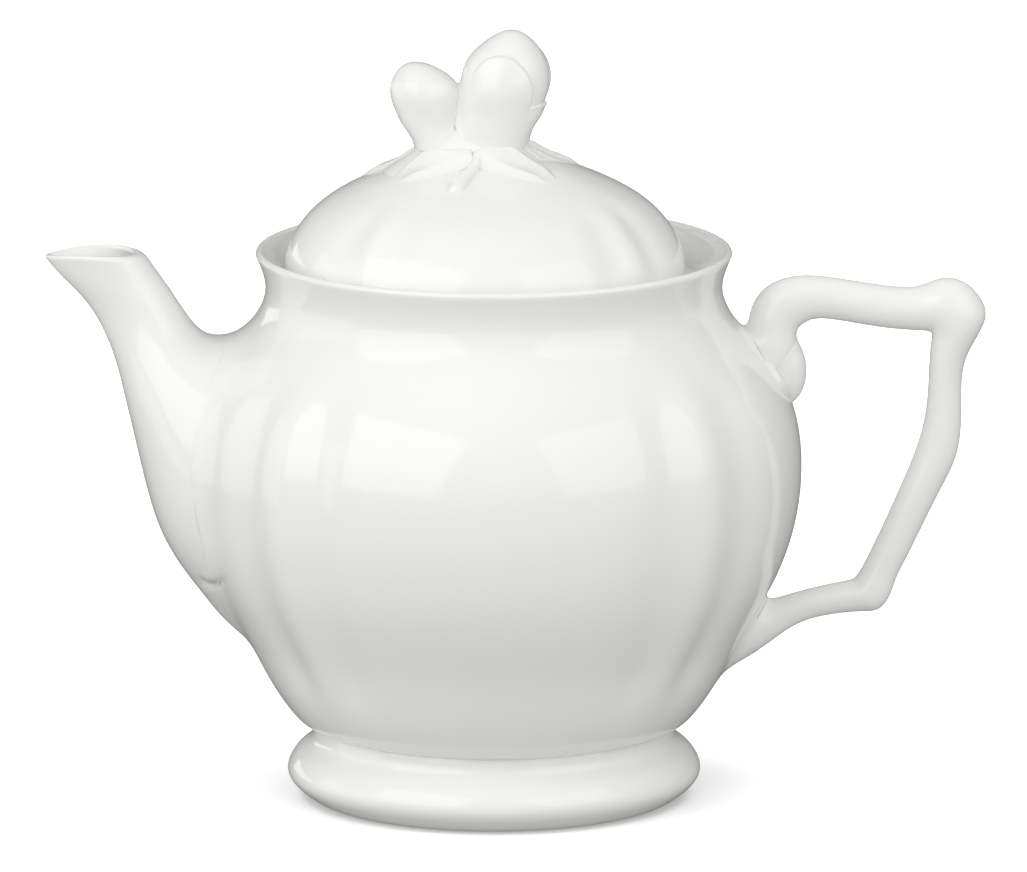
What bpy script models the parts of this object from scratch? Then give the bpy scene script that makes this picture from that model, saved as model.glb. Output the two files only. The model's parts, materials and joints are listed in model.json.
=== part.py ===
"""White porcelain teapot with a lobed body, a loose lid and a rosebud finial.

Every separately formed porcelain piece is its own object. Dimensions below are
in millimetres; MM turns them into metres. +Z is up, the handle points to +X and
the spout to -X. The origin is the middle of the whole teapot's footprint, at the
table, so the pot's own axis stands a little towards the spout.
"""

import math

import bmesh
import bpy
import numpy as np
from mathutils import Vector

MM = 0.001

# Overall reach of the spout's tip and of the handle's knuckle from the pot's axis.
SPOUT_REACH = 107.2
HANDLE_REACH = 117.4
POT_X = (SPOUT_REACH - HANDLE_REACH) / 2
LID_X = POT_X - 2.2          # the lid rests loosely, a little towards the spout
GAP = 0.3                    # clearance kept between neighbouring pieces

# Pot body.
WALL = 3.6
BASE_Z = 17.4
FLOOR_Z = 21.4
LIP_RADIUS = 1.1
BODY_OUTLINE = [              # outer radius and height, foot joint to lip
    (44.2, 17.9), (46.6, 19.2), (48.6, 21.2), (53.4, 28.1), (59.2, 38.9),
    (67.7, 54.1), (72.3, 68.0), (73.5, 80.5), (71.9, 93.0), (67.2, 103.2),
    (61.0, 110.9), (56.3, 117.3), (54.5, 123.6), (55.3, 127.8), (56.8, 131.6),
]
LEDGE_Z = 124.0
LEDGE_THICKNESS = 3.2
LEDGE_RADIUS = 43.0
NECK_INNER_RADIUS = 50.8

# Four narrow ribs with a soft groove along each side, between four wide panels.
RIB_ANGLE = 45.0
RIB_HEIGHT = 0.7
RIB_WIDTH = 4.5
GROOVE_DEPTH = 0.9
GROOVE_WIDTH = 5.5
GROOVE_OFFSET = 9.5
PANEL_RELIEF = 0.6
QUADRANT_STEPS = 14

# Foot ring.
FOOT_CONTACT_OUTER = 41.6
FOOT_CONTACT_INNER = 38.8
FOOT_OUTER = [
    (43.8, BASE_Z - GAP), (43.4, 15.7), (43.9, 14.0), (45.4, 12.6), (47.2, 11.0),
    (48.6, 9.0), (49.3, 7.2), (49.3, 5.9), (48.6, 4.5), (46.9, 2.6), (44.8, 1.0),
    (43.2, 0.3), (FOOT_CONTACT_OUTER, 0.0),
]
FOOT_INNER = [
    (FOOT_CONTACT_INNER, 0.0), (37.7, 0.7), (37.3, 2.2), (37.7, 9.0),
    (38.2, BASE_Z - GAP),
]

# Lid.
LID_SEAT_Z = LEDGE_Z + GAP
LID_OUTLINE = [               # underside edge to crown
    (46.6, LID_SEAT_Z), (47.5, 125.6), (47.8, 128.2), (47.3, 131.6), (45.8, 135.6),
    (43.2, 139.6), (39.4, 143.4), (34.6, 146.6), (29.0, 149.4), (23.0, 151.9),
    (17.0, 154.1), (11.0, 155.6), (5.0, 156.2),
]
LID_CROWN_Z = 156.3
LID_INNER = [                 # crown to seat
    (0.0, 152.6), (10.0, 151.9), (16.0, 150.4), (21.5, 148.3), (27.0, 146.0), (32.0, 143.6),
    (36.4, 140.8), (40.0, 137.2), (42.2, 133.2), (42.4, 130.0), (40.5, 127.4),
]
LID_RIB_TURN = 6.5            # the lid is turned a little in its seat
FLANGE_OUTER = 40.2
FLANGE_INNER = 37.2
FLANGE_BOTTOM = 110.5
FLANGE_TOP = 127.0
VENT_RADIUS = 1.6
VENT_REACH = 27.0
VENT_ANGLE = 62.0             # behind the finial, between two leaves

# Spout stations: outer keel point, upper point, half width, sharpness of the keel.
SPOUT_STATIONS = [
    (-107.2, 130.8, -81.0, 132.8, 7.6, 0.34),
    (-103.6, 126.6, -79.4, 127.9, 8.0, 0.26),
    (-98.3, 121.2, -76.8, 122.8, 8.8, 0.20),
    (-94.4, 115.6, -73.4, 117.4, 9.9, 0.14),
    (-91.8, 110.0, -68.8, 112.6, 12.0, 0.10),
    (-89.8, 104.0, -62.0, 109.0, 15.4, 0.06),
    (-88.0, 96.6, -56.0, 102.0, 19.4, 0.04),
    (-86.0, 88.0, -52.0, 92.0, 22.8, 0.03),
    (-83.4, 76.8, -50.0, 80.0, 25.0, 0.02),
    (-80.0, 65.6, -48.0, 68.0, 24.8, 0.02),
    (-75.2, 56.4, -46.0, 57.0, 21.0, 0.02),
    (-69.4, 48.6, -44.0, 48.0, 15.0, 0.02),
    (-63.0, 41.4, -42.0, 41.0, 8.0, 0.02),
]
SPOUT_SEGMENTS = 24
SPOUT_WALL = 2.6
BORE_STATIONS = 9

# Strainer holes through the body wall behind the spout.
STRAINER_RADIUS = 1.9
STRAINER_ROWS = [(64.0, 2), (72.0, 3), (80.0, 2), (88.0, 3), (96.0, 2)]
STRAINER_PITCH = 7.6          # degrees around the body

# Handle stations from the upper root to the lower one: outer point, inner point, half width.
HANDLE_STATIONS = [
    (59.5, 104.0, 68.5, 100.5, 6.2), (61.3, 111.0, 72.6, 107.6, 5.8),
    (61.5, 118.6, 72.3, 112.6, 5.4), (64.6, 123.1, 73.6, 114.4, 5.2),
    (70.6, 125.8, 76.0, 115.6, 5.0), (80.5, 125.7, 81.5, 115.5, 4.8),
    (96.8, 123.4, 96.0, 113.3, 4.9), (102.7, 124.1, 102.0, 112.9, 5.2),
    (107.5, 125.6, 103.7, 112.7, 5.8), (111.6, 124.8, 104.2, 112.4, 6.2),
    (115.8, 121.0, 104.4, 111.8, 6.4), (117.4, 117.0, 104.4, 110.8, 6.2),
    (115.9, 112.6, 104.2, 109.4, 5.8), (113.0, 107.0, 103.9, 105.6, 5.1),
    (111.6, 94.0, 103.2, 94.4, 4.5), (110.4, 82.5, 101.0, 84.8, 4.7),
    (106.6, 74.0, 97.9, 76.8, 4.7), (98.3, 56.9, 90.4, 60.0, 4.4),
    (95.9, 51.6, 87.8, 54.8, 4.5), (94.0, 47.0, 86.6, 53.0, 4.8),
    (92.0, 45.0, 86.0, 52.4, 4.8), (88.4, 44.4, 84.6, 51.9, 4.4),
    (80.4, 43.6, 78.8, 50.7, 3.9), (70.8, 40.3, 68.4, 47.8, 4.3),
    (64.9, 36.1, 64.0, 46.4, 5.6), (58.0, 32.0, 58.0, 46.0, 7.2),
]
HANDLE_SEGMENTS = 16

# Leaf-shaped pad that the handle's upper root stands on: centre line down the
# shoulder, half width and thickness above the body.
PAD_STATIONS = [
    (112.6, 1.2, 1.0), (110.6, 5.2, 2.4), (107.2, 7.6, 4.2), (103.2, 8.4, 6.2),
    (99.8, 7.4, 6.4), (97.0, 5.2, 4.6), (95.0, 1.6, 1.6),
]
PAD_SEGMENTS = 16

# Finial. Offsets are from the lid's axis.
STEM_OUTLINE = [
    (14.6, 155.6), (14.2, 156.8), (12.8, 157.9), (12.9, 158.9), (12.0, 159.8),
]
STEM_TOP = 160.3
STEM_X = -2.85
STEM_STRETCH = 0.72           # the stem is narrower front to back
LARGE_OUTLINE = [             # share of the radius and of the height, above the flat foot
    (0.87, 0.0), (0.92, 0.12), (0.97, 0.28), (1.0, 0.48), (0.95, 0.66),
    (0.76, 0.82), (0.42, 0.95), (0.0, 1.0),
]
SMALL_OUTLINE = [
    (0.67, 0.0), (0.78, 0.13), (0.91, 0.33), (1.0, 0.54), (0.94, 0.70),
    (0.76, 0.84), (0.46, 0.95), (0.0, 1.0),
]
LARGE_BUD = {"x": 2.6, "bottom": 160.6, "top": 185.7, "radius": 9.7, "lean": 0.155,
             "outline": LARGE_OUTLINE}
SMALL_BUD = {"x": -12.6, "bottom": 160.6, "top": 177.9, "radius": 8.0, "lean": -0.20,
             "outline": SMALL_OUTLINE}
BUD_SEGMENTS = 20
PETALS = [                    # lower and upper height, middle direction, half angle
    ("large_bud_front_petal", 163.0, 180.2, 266.0, 44.0),
    ("large_bud_back_petal", 163.0, 183.6, 62.0, 84.0),
]
PETAL_GAP = 0.5               # clear of the bud's flats as well
PETAL_THICKNESS = 0.9

# Leaves on the lid: root and tip in plan from the lid's axis, and half width.
LEAVES = [
    ("leaf_front_left", (-5.0, -13.2), (-20.6, -14.8), 3.8),
    ("leaf_front_right", (1.4, -13.4), (15.8, -18.4), 3.8),
    ("leaf_left", (-18.4, 5.4), (-31.5, 10.5), 4.4),
    ("leaf_right", (12.4, 6.4), (25.0, 11.5), 4.4),
    ("leaf_back", (-2.8, 12.8), (-4.0, 27.5), 4.8),
]
LEAF_THICKNESS = 1.3
LEAF_ROWS = 8
LEAF_COLUMNS = 4
CURL_PATH = [(-2.2, -14.2, 0.8), (-3.2, -16.8, 1.3), (-4.8, -19.6, 1.5), (-6.1, -22.0, 1.6),
             (-6.5, -23.8, 1.2)]

PORCELAIN = (0.88, 0.89, 0.88)
FINE_GLAZE = 0.08


# ---------------------------------------------------------------- curves

def smooth(points, steps):
    """Natural cubic spline through the points, with `steps` spans between each two."""
    knots = np.array(points, dtype=float)
    spans = np.linalg.norm(np.diff(knots, axis=0), axis=1)
    count = len(knots)
    matrix = np.eye(count)
    bends = np.zeros_like(knots)
    for i in range(1, count - 1):
        before, after = spans[i - 1], spans[i]
        matrix[i, i - 1:i + 2] = before, 2 * (before + after), after
        bends[i] = 6 * ((knots[i + 1] - knots[i]) / after - (knots[i] - knots[i - 1]) / before)
    second = np.linalg.solve(matrix, bends)
    curve = []
    for i, span in enumerate(spans):
        for done in np.arange(steps) / steps * span:
            left = span - done
            curve.append(tuple(float(value) for value in (
                (second[i] * left ** 3 + second[i + 1] * done ** 3) / (6 * span)
                + (knots[i] / span - second[i] * span / 6) * left
                + (knots[i + 1] / span - second[i + 1] * span / 6) * done)))
    curve.append(tuple(float(value) for value in knots[-1]))
    return curve


def inset(points, distance):
    """The outline moved inwards, square to itself."""
    moved = []
    for i, (r, z) in enumerate(points):
        before = points[max(i - 1, 0)]
        after = points[min(i + 1, len(points) - 1)]
        dr = after[0] - before[0]
        dz = after[1] - before[1]
        length = math.hypot(dr, dz)
        moved.append((r - dz / length * distance, z + dr / length * distance))
    return moved


BODY_CURVE = smooth(BODY_OUTLINE, 4)
LID_CURVE = smooth(LID_OUTLINE, 3)


def body_radius(z):
    """Outer radius of the pot at a height, before the relief."""
    for (r0, z0), (r1, z1) in zip(BODY_CURVE, BODY_CURVE[1:]):
        if z0 <= z <= z1:
            return r0 + (r1 - r0) * (z - z0) / (z1 - z0)
    return BODY_CURVE[0][0] if z < BODY_CURVE[0][1] else BODY_CURVE[-1][0]


def lid_height(distance):
    """Height of the lid's upper face at a distance from its axis."""
    for (r0, z0), (r1, z1) in zip(LID_CURVE, LID_CURVE[1:]):
        if r1 <= distance <= r0 and z1 > z0:
            return z0 + (z1 - z0) * (r0 - distance) / (r0 - r1)
    return LID_CROWN_Z


def ramp(value, low, high):
    """Smooth step from 0 at low to 1 at high."""
    t = min(max((value - low) / (high - low), 0.0), 1.0)
    return t * t * (3 - 2 * t)


def lobes(angle):
    """Radial change of the ribs, grooves and panels at an angle in degrees."""
    turn = (angle - RIB_ANGLE + 45.0) % 90.0 - 45.0
    rib = RIB_HEIGHT * math.exp(-(turn / RIB_WIDTH) ** 2)
    groove = GROOVE_DEPTH * math.exp(-((abs(turn) - GROOVE_OFFSET) / GROOVE_WIDTH) ** 2)
    panel = PANEL_RELIEF * 0.5 * (1 + math.cos(math.radians(4 * turn)))
    return rib - groove - panel


def body_relief(angle, z):
    return lobes(angle) * ramp(z, 24.0, 40.0) * (1 - ramp(z, 100.0, 114.0))


def lid_relief(angle, z):
    return 0.8 * lobes(angle - LID_RIB_TURN) * ramp(z, 127.5, 131.0) * (1 - ramp(z, 141.0, 150.0))


# ---------------------------------------------------------------- meshes

def add_object(name, bm, x=0.0):
    """Make an object from a mesh built in millimetres, its origin at x on the table."""
    bmesh.ops.recalc_face_normals(bm, faces=bm.faces)
    bmesh.ops.scale(bm, vec=(MM, MM, MM), verts=bm.verts)
    mesh = bpy.data.meshes.new(name)
    bm.to_mesh(mesh)
    bm.free()
    mesh.shade_smooth()
    mesh.set_sharp_from_angle(angle=math.radians(40))
    obj = bpy.data.objects.new(name, mesh)
    obj.location.x = x * MM
    bpy.context.scene.collection.objects.link(obj)
    return obj


def glaze(obj, color=PORCELAIN, roughness=FINE_GLAZE):
    material = bpy.data.materials.new(obj.name)
    material.use_nodes = True
    shader = material.node_tree.nodes["Principled BSDF"]
    shader.inputs["Base Color"].default_value = (*color, 1.0)
    shader.inputs["Roughness"].default_value = roughness
    obj.data.materials.append(material)
    return obj


def as_cutter(obj):
    obj.hide_render = True
    obj.display_type = "WIRE"
    return obj


def cut(obj, cutter):
    modifier = obj.modifiers.new("cut_" + cutter.name, "BOOLEAN")
    modifier.operation = "DIFFERENCE"
    modifier.solver = "EXACT"
    modifier.object = cutter
    return obj


def rib_warp(angle):
    """Gather the evenly spun edges towards the ribs, where the surface turns fastest."""
    turn = (angle - RIB_ANGLE + 45.0) % 90.0 - 45.0
    gathered = 45.0 * math.copysign((abs(turn) / 45.0) ** 1.35, turn)
    return angle - turn + gathered


def turned(outline, steps, relief=None, closed=False, turn=0.0):
    """Turn an outline of (radius, height) about the Z axis, then press the relief in."""
    bm = bmesh.new()
    verts = [bm.verts.new((r, 0.0, z)) for r, z in outline]
    edges = [bm.edges.new(pair) for pair in zip(verts, verts[1:])]
    if closed:
        edges.append(bm.edges.new((verts[-1], verts[0])))
    bmesh.ops.spin(bm, geom=verts + edges, cent=(0, 0, 0), axis=(0, 0, 1),
                   angle=math.tau, steps=steps, use_merge=True)
    bmesh.ops.remove_doubles(bm, verts=bm.verts, dist=1e-4)
    if relief:
        for vert in bm.verts:
            radius = math.hypot(vert.co.x, vert.co.y)
            if radius < 1e-3:
                continue
            angle = math.degrees(math.atan2(vert.co.y, vert.co.x))
            angle = rib_warp(angle) + turn
            radius += relief(angle, vert.co.z) * ramp(radius, 10.0, 40.0)
            vert.co.x = radius * math.cos(math.radians(angle))
            vert.co.y = radius * math.sin(math.radians(angle))
    return bm


def skin(rings):
    """Closed solid through rings of equal length, capped at both ends."""
    bm = bmesh.new()
    loops = [[bm.verts.new(point) for point in ring] for ring in rings]
    for low, high in zip(loops, loops[1:]):
        for i in range(len(low)):
            j = (i + 1) % len(low)
            bm.faces.new((low[i], low[j], high[j], high[i]))
    bm.faces.new(reversed(loops[0]))
    bm.faces.new(loops[-1])
    return bm


def arc(centre, radius, start, end, steps):
    """Points of an arc in an outline, angles in degrees."""
    points = []
    for k in range(steps + 1):
        angle = math.radians(start + (end - start) * k / steps)
        points.append((centre[0] + radius * math.cos(angle), centre[1] + radius * math.sin(angle)))
    return points


# ---------------------------------------------------------------- the pot

def body_outline():
    """Whole section of the pot, from the middle of the base round to the middle of the floor."""
    outer = smooth(BODY_OUTLINE, 2)
    lip = arc((outer[-1][0] - LIP_RADIUS, outer[-1][1]), LIP_RADIUS, 30, 180, 5)
    neck = [(53.2, 128.8), (51.6, 126.2), (NECK_INNER_RADIUS, LEDGE_Z + 0.9),
            (NECK_INNER_RADIUS - 0.9, LEDGE_Z)]
    ledge = [(LEDGE_RADIUS + 0.7, LEDGE_Z), (LEDGE_RADIUS, LEDGE_Z - 0.7),
             (LEDGE_RADIUS, LEDGE_Z - LEDGE_THICKNESS + 0.8),
             (LEDGE_RADIUS + 1.0, LEDGE_Z - LEDGE_THICKNESS)]
    inner = [point for point in inset(outer, WALL) if FLOOR_Z + 3.0 < point[1] < 117.0][::2]
    floor = [(41.5, FLOOR_Z + 1.0), (37.0, FLOOR_Z), (0.0, FLOOR_Z)]
    under = [(0.0, BASE_Z), (43.0, BASE_Z)]
    return under + outer + lip + neck + ledge + inner[::-1] + floor


def make_body():
    body = add_object("pot_body", turned(body_outline(), 4 * QUADRANT_STEPS, body_relief), POT_X)
    cut(body, make_strainer_cutter())
    return glaze(body)


def make_body_envelope():
    """The pot's outer form plus the joint gap, which trims what is stuck to it."""
    outer = [(r + GAP, z) for r, z in smooth(BODY_OUTLINE, 2)]
    outline = [(0.0, outer[0][1])] + outer + [(0.0, outer[-1][1])]
    bm = turned(outline, 4 * QUADRANT_STEPS, body_relief)
    return as_cutter(add_object("body_envelope", bm, POT_X))


def make_strainer_cutter():
    bm = bmesh.new()
    for z, count in STRAINER_ROWS:
        for k in range(count):
            angle = math.radians(180.0 + (k - (count - 1) / 2) * STRAINER_PITCH)
            direction = Vector((math.cos(angle), math.sin(angle), 0.0))
            drilled = bmesh.ops.create_cone(
                bm, cap_ends=True, segments=10, radius1=STRAINER_RADIUS,
                radius2=STRAINER_RADIUS, depth=16.0)["verts"]
            turn = direction.to_track_quat("Z", "Y").to_matrix()
            bmesh.ops.rotate(bm, verts=drilled, cent=(0, 0, 0), matrix=turn)
            centre = direction * (body_radius(z) - WALL / 2)
            bmesh.ops.translate(bm, verts=drilled, vec=(centre.x, centre.y, z))
    return as_cutter(add_object("strainer_cutter", bm, POT_X))


def make_foot():
    outline = FOOT_OUTER + FOOT_INNER
    bm = turned(outline, 4 * QUADRANT_STEPS, closed=True)
    return glaze(add_object("foot_ring", bm, POT_X))


# ---------------------------------------------------------------- spout

def section_ring(station, segments, shrink=0.0):
    """Oval section between an outer and an inner point, narrowed towards the outer one."""
    outer_x, outer_z, inner_x, inner_z, half_width = station[:5]
    keel = station[5] if len(station) > 5 else 0.0
    outer_point = Vector((outer_x, 0.0, outer_z))
    inner_point = Vector((inner_x, 0.0, inner_z))
    centre = (outer_point + inner_point) / 2
    along = (inner_point - outer_point) / 2
    reach = along.length - shrink
    along.normalize()
    ring = []
    for i in range(segments):
        angle = math.tau * i / segments
        across = (half_width - shrink) * math.sin(angle) * (1 + keel * math.cos(angle))
        ring.append(centre + along * reach * math.cos(angle) + Vector((0.0, across, 0.0)))
    return ring


def make_spout(envelope):
    rings = [section_ring(s, SPOUT_SEGMENTS) for s in smooth(SPOUT_STATIONS, 2)]
    spout = add_object("spout", skin(rings), POT_X)
    outer_x, outer_z, inner_x, inner_z, half_width, keel = SPOUT_STATIONS[0]
    clear = (outer_x, outer_z + 6.0, inner_x, inner_z + 6.0, half_width, keel)
    stations = [clear] + smooth(SPOUT_STATIONS[:BORE_STATIONS + 1], 2)
    bore_rings = [section_ring(s, SPOUT_SEGMENTS, SPOUT_WALL) for s in stations]
    cut(spout, as_cutter(add_object("spout_bore", skin(bore_rings), POT_X)))
    cut(spout, envelope)
    return glaze(spout)


# ---------------------------------------------------------------- handle

def make_handle(envelope, pad_envelope):
    rings = [section_ring(s, HANDLE_SEGMENTS) for s in smooth(HANDLE_STATIONS, 2)]
    handle = add_object("handle", skin(rings), POT_X)
    cut(handle, pad_envelope)
    cut(handle, envelope)
    return glaze(handle)


def pad_rings(grow):
    """Half-round sections standing on the shoulder below the handle's root."""
    rings = []
    for z, half_width, height in smooth(PAD_STATIONS, 2):
        radius = body_radius(z)
        slope = math.atan2(body_radius(z - 1) - body_radius(z + 1), 2.0)
        outward = Vector((math.cos(slope), 0.0, math.sin(slope)))
        centre = Vector((radius, 0.0, z)) - outward * 2.0
        rings.append([
            centre + Vector((0.0, (half_width + grow) * math.sin(math.tau * k / PAD_SEGMENTS), 0.0))
            + outward * (height + 2.0 + grow) * math.cos(math.tau * k / PAD_SEGMENTS)
            for k in range(PAD_SEGMENTS)])
    return rings


def make_pad(envelope):
    pad = add_object("handle_root_leaf", skin(pad_rings(0.0)), POT_X)
    cut(pad, envelope)
    return glaze(pad)


# ---------------------------------------------------------------- lid

def make_dome():
    seat = [(FLANGE_OUTER + GAP, LID_SEAT_Z)]
    outline = [(0.0, LID_CROWN_Z)] + LID_OUTLINE[::-1] + seat + LID_INNER[::-1]
    bm = turned(outline, 4 * QUADRANT_STEPS, lid_relief, turn=LID_RIB_TURN)
    dome = add_object("lid_dome", bm, LID_X)
    cut(dome, make_vent_cutter())
    return glaze(dome)


def make_vent_cutter():
    bm = bmesh.new()
    bmesh.ops.create_cone(bm, cap_ends=True, segments=12, radius1=VENT_RADIUS,
                          radius2=VENT_RADIUS, depth=20.0)
    turn = math.radians(VENT_ANGLE)
    bmesh.ops.translate(bm, verts=bm.verts, vec=(
        VENT_REACH * math.cos(turn), VENT_REACH * math.sin(turn), lid_height(VENT_REACH)))
    return as_cutter(add_object("vent_cutter", bm, LID_X))


def make_flange():
    chamfer = 0.8
    outline = [
        (FLANGE_OUTER, FLANGE_TOP), (FLANGE_OUTER, FLANGE_BOTTOM + chamfer),
        (FLANGE_OUTER - chamfer, FLANGE_BOTTOM), (FLANGE_INNER + chamfer, FLANGE_BOTTOM),
        (FLANGE_INNER, FLANGE_BOTTOM + chamfer), (FLANGE_INNER, FLANGE_TOP),
    ]
    bm = turned(outline[::-1], 3 * QUADRANT_STEPS, closed=True)
    return glaze(add_object("lid_flange", bm, LID_X))


# ---------------------------------------------------------------- finial

def make_stem():
    """Oval foot of the finial, following the crown of the lid."""
    low = STEM_OUTLINE[0][1]
    under = [(0.0, low), (5.0, low), (10.0, low)]
    bm = turned(under + STEM_OUTLINE + [(0.0, STEM_TOP)], 2 * QUADRANT_STEPS)
    for vert in bm.verts:
        vert.co.x += STEM_X
        vert.co.y *= STEM_STRETCH
        if vert.co.z < low + 0.01:
            vert.co.z = lid_height(math.hypot(vert.co.x, vert.co.y)) + GAP
    return glaze(add_object("finial_stem", bm, LID_X))


def bud_point(bud, angle, share, grow=0.0):
    """Point on a bud's surface at a share of its height, angle in degrees."""
    z = bud["bottom"] + (bud["top"] - bud["bottom"]) * share
    radius = grow
    curve = smooth(bud["outline"], 3)
    for (r0, h0), (r1, h1) in zip(curve, curve[1:]):
        if h0 <= share <= h1 and h1 > h0:
            radius += bud["radius"] * (r0 + (r1 - r0) * (share - h0) / (h1 - h0))
            break
    x = bud["x"] + bud["lean"] * (z - bud["bottom"])
    return Vector((x + radius * math.cos(math.radians(angle)),
                   radius * math.sin(math.radians(angle)), z))


def bud_mesh(bud, grow=0.0):
    height = bud["top"] - bud["bottom"]
    outline = [(r * (bud["radius"] + grow), bud["bottom"] + h * height)
               for r, h in smooth(bud["outline"], 2)]
    bm = turned([(0.0, bud["bottom"])] + outline, BUD_SEGMENTS)
    for vert in bm.verts:
        vert.co.x += bud["x"] + bud["lean"] * (vert.co.z - bud["bottom"])
    return bm


def make_buds():
    """The small bud is pressed against the large one, so its side is trimmed to fit."""
    large = add_object("large_bud", bud_mesh(LARGE_BUD), LID_X)
    reach = PETAL_GAP + PETAL_THICKNESS + GAP
    envelope = as_cutter(add_object("large_bud_envelope", bud_mesh(LARGE_BUD, reach), LID_X))
    small = add_object("small_bud", bud_mesh(SMALL_BUD), LID_X)
    cut(small, envelope)
    return glaze(large), glaze(small)


def make_petal(name, bottom, top, middle, half_angle):
    """Arched petal wrapped round the large bud."""
    height = LARGE_BUD["top"] - LARGE_BUD["bottom"]
    low = (bottom - LARGE_BUD["bottom"]) / height
    high = (top - LARGE_BUD["bottom"]) / height
    rows = 8
    columns = round(half_angle / 6)
    rings = []
    for row in range(rows + 1):
        rise = math.sin(math.radians(84.0) * row / rows)
        share = low + (high - low) * rise
        half = half_angle * math.sqrt(1 - 0.985 * rise ** 4)
        angles = [middle + half * (2 * k / columns - 1) for k in range(columns + 1)]
        inner = [bud_point(LARGE_BUD, a, share, PETAL_GAP) for a in angles]
        outer = [bud_point(LARGE_BUD, a, share, PETAL_GAP + PETAL_THICKNESS) for a in angles]
        rings.append(inner + outer[::-1])
    return glaze(add_object(name, skin(rings), LID_X))


def make_leaf(name, root, tip, half_width):
    """Pointed leaf draped over the lid, thickest along its midrib."""
    start = Vector(root)
    along = Vector(tip) - start
    across = Vector((-along.y, along.x)).normalized()
    rings = []
    for row in range(LEAF_ROWS + 1):
        t = row / LEAF_ROWS
        width = half_width * math.sin(math.pi * (0.06 + 0.91 * t) ** 0.8)
        lower = []
        upper = []
        for k in range(LEAF_COLUMNS + 1):
            s = 2 * k / LEAF_COLUMNS - 1
            spot = start + along * t + across * width * s
            ground = lid_height(spot.length) + GAP
            thickness = 0.4 + (LEAF_THICKNESS - 0.4) * (1 - s * s) * math.sin(math.pi * (0.1 + 0.85 * t))
            lower.append(Vector((spot.x, spot.y, ground)))
            upper.append(Vector((spot.x, spot.y, ground + thickness)))
        rings.append(lower + upper[::-1])
    return glaze(add_object(name, skin(rings), LID_X))


def make_curl():
    """Little cut stem that curls forward between the two front leaves."""
    rings = []
    path = smooth(CURL_PATH, 3)
    for i, (x, y, radius) in enumerate(path):
        before = path[max(i - 1, 0)]
        after = path[min(i + 1, len(path) - 1)]
        forward = Vector((after[0] - before[0], after[1] - before[1], 0.0)).normalized()
        side = Vector((-forward.y, forward.x, 0.0))
        centre = Vector((x, y, lid_height(math.hypot(x, y) - radius) + GAP + radius))
        rings.append([centre + radius * (side * math.cos(math.tau * k / 8)
                                         + Vector((0, 0, 1)) * math.sin(math.tau * k / 8))
                      for k in range(8)])
    return glaze(add_object("stem_curl", skin(rings), LID_X))


# ---------------------------------------------------------------- assembly

def main():
    for obj in list(bpy.data.objects):
        bpy.data.objects.remove(obj, do_unlink=True)
    envelope = make_body_envelope()
    pad_envelope = as_cutter(add_object("pad_envelope", skin(pad_rings(GAP)), POT_X))
    make_body()
    make_foot()
    make_spout(envelope)
    make_handle(envelope, pad_envelope)
    make_pad(envelope)
    make_dome()
    make_flange()
    make_stem()
    make_buds()
    for petal in PETALS:
        make_petal(*petal)
    for name, root, tip, half_width in LEAVES:
        make_leaf(name, root, tip, half_width)
    make_curl()


main()
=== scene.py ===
import json
import math

import bmesh
import bpy
import numpy as np
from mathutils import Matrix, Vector
from mathutils.bvhtree import BVHTree

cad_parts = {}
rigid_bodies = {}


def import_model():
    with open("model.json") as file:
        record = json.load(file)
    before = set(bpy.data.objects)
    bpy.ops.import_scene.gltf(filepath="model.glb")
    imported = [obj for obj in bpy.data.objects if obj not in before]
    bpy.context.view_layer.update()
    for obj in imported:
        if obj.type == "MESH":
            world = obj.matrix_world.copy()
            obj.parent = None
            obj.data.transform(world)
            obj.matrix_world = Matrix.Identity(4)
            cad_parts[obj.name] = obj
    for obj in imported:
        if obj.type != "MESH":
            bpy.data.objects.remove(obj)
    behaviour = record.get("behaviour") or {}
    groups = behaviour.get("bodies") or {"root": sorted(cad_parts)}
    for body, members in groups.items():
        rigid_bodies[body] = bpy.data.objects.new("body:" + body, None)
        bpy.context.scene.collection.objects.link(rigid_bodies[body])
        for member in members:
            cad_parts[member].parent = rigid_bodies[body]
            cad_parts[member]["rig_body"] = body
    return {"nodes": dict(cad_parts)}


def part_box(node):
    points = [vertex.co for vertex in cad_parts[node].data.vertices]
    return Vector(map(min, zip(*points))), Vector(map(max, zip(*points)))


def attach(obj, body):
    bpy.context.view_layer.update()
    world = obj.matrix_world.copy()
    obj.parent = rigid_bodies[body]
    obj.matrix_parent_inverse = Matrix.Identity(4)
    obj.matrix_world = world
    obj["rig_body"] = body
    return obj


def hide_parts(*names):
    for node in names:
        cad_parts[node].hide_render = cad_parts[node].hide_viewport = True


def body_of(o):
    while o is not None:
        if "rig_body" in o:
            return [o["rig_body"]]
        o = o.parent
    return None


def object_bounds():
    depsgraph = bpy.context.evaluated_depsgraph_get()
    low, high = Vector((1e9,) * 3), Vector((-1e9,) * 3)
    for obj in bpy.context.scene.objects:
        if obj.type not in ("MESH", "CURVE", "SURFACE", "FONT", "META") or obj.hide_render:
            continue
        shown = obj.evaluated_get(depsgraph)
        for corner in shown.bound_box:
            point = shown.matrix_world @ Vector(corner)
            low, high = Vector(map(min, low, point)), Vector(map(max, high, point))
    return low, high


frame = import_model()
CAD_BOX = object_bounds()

MM = 0.001

# ---------------------------------------------------------------- dimensions, millimetres
# Radii and heights are about the pot's own axis, offsets along X are from it.
FOOT_LOW, FOOT_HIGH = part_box("foot_ring")
POT_X = (FOOT_LOW[0] + FOOT_HIGH[0]) / 2 / MM
FLANGE_LOW, FLANGE_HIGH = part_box("lid_flange")
LID_X = (FLANGE_LOW[0] + FLANGE_HIGH[0]) / 2 / MM

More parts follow.
